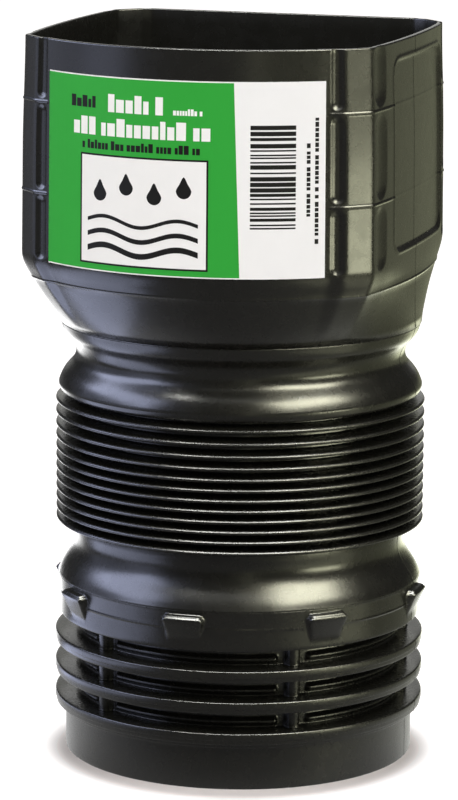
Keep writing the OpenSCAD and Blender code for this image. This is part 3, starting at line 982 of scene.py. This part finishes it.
def column_shapes(chance):
    """Narrow columns of short bars."""
    shapes = []
    for left, v, high in COLUMNS:
        while v < high:
            tall = chance.uniform(*COLUMN_HEIGHTS)
            shapes.append(bar(left, v, left + COLUMN_WIDTH, v + tall))
            v += tall + chance.choice(COLUMN_GAPS)
    return shapes


def make_label():
    """The label's sheet and its print, one layer of ink on the other, within the label's thickness."""
    chance = random.Random(11)
    base = LABEL_THICKNESS - 3 * INK_THICKNESS
    end = LABEL_ARC_HALF
    sheet = printed("label_sheet", [bar(-end, 0, end, LABEL_TALL)], 0, base)
    foot, top = PRINT_MARGIN, LABEL_TALL - PRINT_MARGIN
    field = [(-end, foot), (GREEN_EDGE, foot), (GREEN_EDGE - GREEN_LEAN, top), (-end, top)]
    green = printed("print_green", [field], base, INK_THICKNESS)
    shapes = [bar(*PICTURE)]
    for words in WHITE_WORDS:
        shapes += word_bars(*words, chance)
    white = printed("print_white", shapes, base + INK_THICKNESS, INK_THICKNESS)
    left, low, right, high = PICTURE
    out = PICTURE_FRAME_OUT
    shapes = frame_bars(left - out, low - out, right + out, high + out, PICTURE_FRAME_WIDTH)
    for words in BLACK_WORDS:
        shapes += word_bars(*words, chance)
    shapes += picture_shapes() + stripe_shapes(chance) + column_shapes(chance)
    black = printed("print_black", shapes, base + 2 * INK_THICKNESS, INK_THICKNESS)
    return sheet, green, white, black


# Materials

def new_material(name):
    """A material with its node tree and its shader."""
    material = bpy.data.materials.new(name)
    material.use_nodes = True
    tree = material.node_tree
    return material, tree, tree.nodes["Principled BSDF"]


def ramp_between(tree, source, low, high):
    """A Map Range from a 0 to 1 source to values between low and high."""
    node = tree.nodes.new("ShaderNodeMapRange")
    node.inputs["To Min"].default_value = low
    node.inputs["To Max"].default_value = high
    tree.links.new(source, node.inputs["Value"])
    return node.outputs["Result"]


def noise(tree, place, scale, detail):
    """A noise texture's value, from 0 to 1."""
    node = tree.nodes.new("ShaderNodeTexNoise")
    node.inputs["Scale"].default_value = scale
    node.inputs["Detail"].default_value = detail
    tree.links.new(place, node.inputs["Vector"])
    return node.outputs["Fac"]


def blend_colours(tree, share, first, second):
    """The first colour going over to the second as share goes from 0 to 1."""
    mix = tree.nodes.new("ShaderNodeMix")
    mix.data_type = "RGBA"
    mix.inputs["A"].default_value = (*first, 1)
    mix.inputs["B"].default_value = (*second, 1)
    tree.links.new(share, mix.inputs["Factor"])
    return mix.outputs["Result"]


def bump(tree, height, strength, distance):
    """A Bump node that shapes the skin by a height from 0 to 1."""
    node = tree.nodes.new("ShaderNodeBump")
    node.inputs["Strength"].default_value = strength
    node.inputs["Distance"].default_value = distance
    tree.links.new(height, node.inputs["Height"])
    return node


def plastic_material():
    """Glossy black moulded plastic with uneven tone and gloss, a faintly wavy skin and fine grain."""
    material, tree, shader = new_material("black_plastic")
    place = tree.nodes.new("ShaderNodeTexCoord").outputs["Object"]
    shader.inputs["IOR"].default_value = 1.5
    darker = (0.0058, 0.0055, 0.0040)
    lighter = (0.0088, 0.0084, 0.0064)
    tone = blend_colours(tree, noise(tree, place, 90, 3), darker, lighter)
    tree.links.new(tone, shader.inputs["Base Color"])
    rough = ramp_between(tree, noise(tree, place, 260, 4), 0.22, 0.32)
    tree.links.new(rough, shader.inputs["Roughness"])
    waviness = bump(tree, noise(tree, place, 38, 1), 0.35, 0.0006)
    grain = bump(tree, noise(tree, place, 1500, 2), 0.12, 0.00005)
    tree.links.new(waviness.outputs["Normal"], grain.inputs["Normal"])
    tree.links.new(grain.outputs["Normal"], shader.inputs["Normal"])
    return material


def print_material(name, colour, roughness):
    """Printed film with a slight unevenness of ink and sheen."""
    material, tree, shader = new_material(name)
    place = tree.nodes.new("ShaderNodeTexCoord").outputs["Object"]
    darker = [c * 0.965 for c in colour]
    tone = blend_colours(tree, noise(tree, place, 140, 3), darker, colour)
    tree.links.new(tone, shader.inputs["Base Color"])
    sheen = noise(tree, place, 500, 2)
    rough = ramp_between(tree, sheen, roughness - 0.05, roughness + 0.05)
    tree.links.new(rough, shader.inputs["Roughness"])
    shader.inputs["Specular IOR Level"].default_value = 0.12
    return material


# Stage, lights and camera

def facing(azimuth, elevation):
    """Unit vector from the object, azimuth degrees to the right of the camera's side."""
    a = math.radians(CAMERA_AZIMUTH + azimuth)
    e = math.radians(elevation)
    return Vector((math.sin(a) * math.cos(e), -math.cos(a) * math.cos(e), math.sin(e)))


def beside(azimuth, distance, height):
    """A place at a distance from the object's axis and a height above the floor."""
    return facing(azimuth, 0) * distance + Vector((0, 0, height))


def area_light(name, place, target, wide, tall, radiance, colour, mirrored=True):
    """A soft box that is seen in reflections, or else one that only lights matt colours."""
    data = bpy.data.lights.new(name, "AREA")
    data.shape = "RECTANGLE"
    data.size = wide
    data.size_y = tall
    data.energy = radiance * math.pi * wide * tall
    data.color = colour
    lamp = linked(name, data)
    lamp.location = place
    lamp.rotation_euler = (Vector(target) - Vector(place)).to_track_quat("-Z", "Y").to_euler()
    lamp.visible_camera = False
    lamp.visible_glossy = mirrored
    lamp.visible_diffuse = not mirrored


COOL = (0.66, 0.72, 1.0)
WARM = (1.0, 0.98, 0.75)
OLIVE = (1.0, 1.0, 0.70)
PLAIN = (1.0, 1.0, 1.0)
CREAM = (1.0, 1.0, 0.93)
MIDDLE = Vector((0, 0, 0.11))
COLLAR = Vector((0, 0, 0.2))
UP = Vector((0, 0, 1))


def make_lights():
    """Two plain boxes light the colours. The others are seen in the gloss: wide ones on both sides,
    lower ones under them, a thin strip in front, one overhead and two bright floor patches."""
    for name, azimuth, radiance in (("plain_left", -55, 2.9), ("plain_right", 50, 3.2)):
        area_light(name, MIDDLE + facing(azimuth, 35) * 0.9, MIDDLE, 0.8, 0.6, radiance, PLAIN, False)
    area_light("key_left", MIDDLE + facing(-90, 33) * 0.9, MIDDLE, 0.9, 0.36, 8.5, COOL)
    area_light("key_right", MIDDLE + facing(52, 43) * 0.9, MIDDLE, 0.62, 0.34, 25.0, WARM)
    area_light("overhead", MIDDLE + facing(0, 74) * 0.8, MIDDLE, 0.85, 0.15, 60.0, CREAM)
    area_light("side_left", beside(-68, 0.7, 0.24), COLLAR, 0.28, 0.46, 1.4, COOL)
    area_light("fill_left", beside(-98, 0.7, 0.24), COLLAR, 0.5, 0.4, 0.7, COOL)
    area_light("side_right", beside(58, 0.7, 0.045), COLLAR, 0.3, 0.13, 17.0, OLIVE)
    area_light("strip_front", beside(6, 1.0, 0.3), COLLAR, 0.07, 0.7, 1.3, OLIVE)
    patches = (
        ("card_left", beside(-85, 0.23, 0.002), 0.2, 0.24, 3.2, COOL),
        ("card_right", beside(52, 0.26, 0.002), 0.16, 0.22, 1.1, OLIVE),
    )
    for name, place, wide, tall, radiance, colour in patches:
        area_light(name, place, place + UP, wide, tall, radiance, colour)


def math_node(tree, operation, a, b):
    """The result of a sum, product or the like of two sockets."""
    node = tree.nodes.new("ShaderNodeMath")
    node.operation = operation
    for socket, value in zip(node.inputs, (a, b)):
        tree.links.new(value, socket)
    return node.outputs["Value"]


def vector_math(tree, operation, place, other=(0, 0, 0)):
    """The outputs of a vector operation on a place."""
    node = tree.nodes.new("ShaderNodeVectorMath")
    node.operation = operation
    node.inputs[1].default_value = other
    tree.links.new(place, node.inputs[0])
    return node.outputs


def smooth_map(tree, value, low, high, at_low=0, at_high=1):
    """From at_low to at_high, softly, as a value goes from low to high."""
    node = tree.nodes.new("ShaderNodeMapRange")
    node.interpolation_type = "SMOOTHSTEP"
    for name, bound in zip(("From Min", "From Max", "To Min", "To Max"), (low, high, at_low, at_high)):
        node.inputs[name].default_value = bound
    tree.links.new(value, node.inputs["Value"])
    return node.outputs["Result"]


def along(tree, place, direction, low, high, at_low=0, at_high=1):
    """From at_low to at_high, softly, as a place moves along a direction from low to high."""
    reach = vector_math(tree, "DOT_PRODUCT", place, direction)["Value"]
    return smooth_map(tree, reach, low, high, at_low, at_high)


def but_reflected(tree, rays, shown, reflected):
    """The shown shader, with the reflected one in its place for what gloss sees."""
    mixed = tree.nodes.new("ShaderNodeMixShader")
    tree.links.new(rays.outputs["Is Glossy Ray"], mixed.inputs["Fac"])
    tree.links.new(shown, mixed.inputs[1])
    tree.links.new(reflected, mixed.inputs[2])
    return mixed.outputs["Shader"]


def make_world():
    """White to the camera, an even soft light on matt things, and a dark room with a top light in
    reflections."""
    world = bpy.data.worlds.new("studio")
    bpy.context.scene.world = world
    world.use_nodes = True
    tree = world.node_tree
    rays = tree.nodes.new("ShaderNodeLightPath")
    direction = tree.nodes.new("ShaderNodeTexCoord").outputs["Generated"]
    behind = along(tree, direction, facing(180, 0), 0.93, 0.985, 0.05, 1.0)
    top = along(tree, direction, facing(0, 84), 0.84, 0.97, 0.0, 1.6)
    level = math_node(tree, "MAXIMUM", behind, top)
    reflected = tree.nodes.new("ShaderNodeBackground")
    reflected.inputs["Color"].default_value = (1, 1, 0.95, 1)
    tree.links.new(level, reflected.inputs["Strength"])
    plain = tree.nodes["Background"]
    plain.inputs["Color"].default_value = (1, 1, 1, 1)
    plain_level = ramp_between(tree, rays.outputs["Is Camera Ray"], 0.30, 1.0)
    tree.links.new(plain_level, plain.inputs["Strength"])
    both = plain.outputs["Background"], reflected.outputs["Background"]
    tree.links.new(but_reflected(tree, rays, *both), tree.nodes["World Output"].inputs["Surface"])


def floor_glow_in_gloss(tree, place):
    """A painted glow of the floor that only glossy rays see: near white close behind the object, up to
    4.5 straight behind it and fading out by 0.65 m, dim before it and olive on the right.
    """
    back = facing(180, 0)
    distance = vector_math(tree, "DISTANCE", place)["Value"]
    heading = vector_math(tree, "NORMALIZE", place)["Vector"]
    close = smooth_map(tree, distance, 0.08, 0.16, 0.95, 0)
    close_back = along(tree, place, back, -0.09, 0.01)
    close_level = math_node(tree, "MULTIPLY", close, close_back)
    # Painted glow, brighter than white, straight behind the object, seen only in the gloss.
    far = smooth_map(tree, distance, 0.4, 0.65, 4.5, 0)
    straight_back = along(tree, heading, back, 0.62, 0.93)
    far_level = math_node(tree, "MULTIPLY", far, straight_back)
    right = along(tree, place, facing(90, 0), -0.04, 0.25)
    right_level = ramp_between(tree, right, 0.2, 0.6)
    level = math_node(tree, "ADD", close_level, right_level)
    level = math_node(tree, "ADD", level, far_level)
    mirrored = tree.nodes.new("ShaderNodeEmission")
    tint = blend_colours(tree, right, (1, 1, 1), (0.62, 0.64, 0.42))
    tree.links.new(tint, mirrored.inputs["Color"])
    tree.links.new(level, mirrored.inputs["Strength"])
    return mirrored.outputs["Emission"]


def floor_material():
    """White to the camera, with the object's real shadow and a painted shade round the foot where the
    white lift fades out, and its own glow in reflections.
    """
    material, tree, shader = new_material("floor_white")
    shader.inputs["Base Color"].default_value = (0.80, 0.74, 0.72, 1)
    shader.inputs["Roughness"].default_value = 0.9
    shader.inputs["Specular IOR Level"].default_value = 0.0
    rays = tree.nodes.new("ShaderNodeLightPath")
    place = tree.nodes.new("ShaderNodeTexCoord").outputs["Object"]
    # Painted shade: the white lift fades out over a disc round the foot, centred 6 mm towards the
    # camera, so the floor there is darker beyond its real shadow.
    from_painted_shade = vector_math(tree, "DISTANCE", place, facing(0, 0) * 0.006)["Value"]
    lift_beyond_painted_shade = smooth_map(tree, from_painted_shade, 0.0525, 0.063, 0, 0.85)
    lift = tree.nodes.new("ShaderNodeEmission")
    seen_lift = math_node(tree, "MULTIPLY", rays.outputs["Is Camera Ray"], lift_beyond_painted_shade)
    tree.links.new(seen_lift, lift.inputs["Strength"])
    lit = tree.nodes.new("ShaderNodeAddShader")
    tree.links.new(shader.outputs["BSDF"], lit.inputs[0])
    tree.links.new(lift.outputs["Emission"], lit.inputs[1])
    both = lit.outputs["Shader"], floor_glow_in_gloss(tree, place)
    tree.links.new(but_reflected(tree, rays, *both), tree.nodes["Material Output"].inputs["Surface"])
    return material


def make_floor():
    """A wide square under the object."""
    half = 6.0
    corners = [(-half, -half, 0), (half, -half, 0), (half, half, 0), (-half, half, 0)]
    mesh = bpy.data.meshes.new("floor")
    mesh.from_pydata(corners, [], [(0, 1, 2, 3)])
    mesh.materials.append(floor_material())
    floor = linked("floor", mesh)


def make_camera():
    """The camera where the photograph was taken, turned by its yaw, pitch and roll."""
    data = bpy.data.cameras.new("camera")
    data.sensor_width = SENSOR
    data.lens = FOCAL_PIXELS / LONG_SIDE_PIXELS * SENSOR
    data.clip_start = 0.05
    data.clip_end = 50
    camera = linked("camera", data)
    camera.location = beside(0, CAMERA_DISTANCE, CAMERA_HEIGHT)
    ahead = Matrix.Rotation(math.radians(CAMERA_YAW), 3, "Z") @ -facing(0, 0)
    pitch = math.radians(CAMERA_PITCH)
    forward = ahead * math.cos(pitch) - UP * math.sin(pitch)
    right = forward.cross(UP).normalized()
    up = right.cross(forward)
    roll = math.radians(CAMERA_ROLL)
    turned_right = right * math.cos(roll) - up * math.sin(roll)
    turned_up = up * math.cos(roll) + right * math.sin(roll)
    axes = Matrix((turned_right, turned_up, -forward)).transposed()
    camera.rotation_mode = "QUATERNION"
    camera.rotation_quaternion = axes.to_quaternion()
    bpy.context.scene.camera = camera


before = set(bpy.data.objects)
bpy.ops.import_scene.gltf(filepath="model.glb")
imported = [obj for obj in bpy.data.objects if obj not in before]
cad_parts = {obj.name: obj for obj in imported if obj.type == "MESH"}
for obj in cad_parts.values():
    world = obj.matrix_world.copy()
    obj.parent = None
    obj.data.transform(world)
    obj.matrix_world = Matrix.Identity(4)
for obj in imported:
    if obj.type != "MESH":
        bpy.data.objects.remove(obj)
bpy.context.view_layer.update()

plastic = plastic_material()
for shell in (make_collar(), make_bellows(), make_spigot()):
    shell.data.materials.append(plastic)
    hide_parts("adapter_body")
    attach(shell, BODY)

white = (0.90, 0.90, 0.885)
inks = (
    ("film_white", white, 0.42),
    ("ink_green", (0.030, 0.37, 0.043), 0.42),
    ("ink_white", white, 0.42),
    ("ink_black", (0.012, 0.012, 0.011), 0.4),
)
for piece, ink in zip(make_label(), inks):
    piece.data.materials.append(print_material(*ink))
    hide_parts("label")
    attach(piece, BODY)

make_floor()
make_world()
make_lights()
make_camera()
bpy.context.scene.view_settings.view_transform = "Standard"
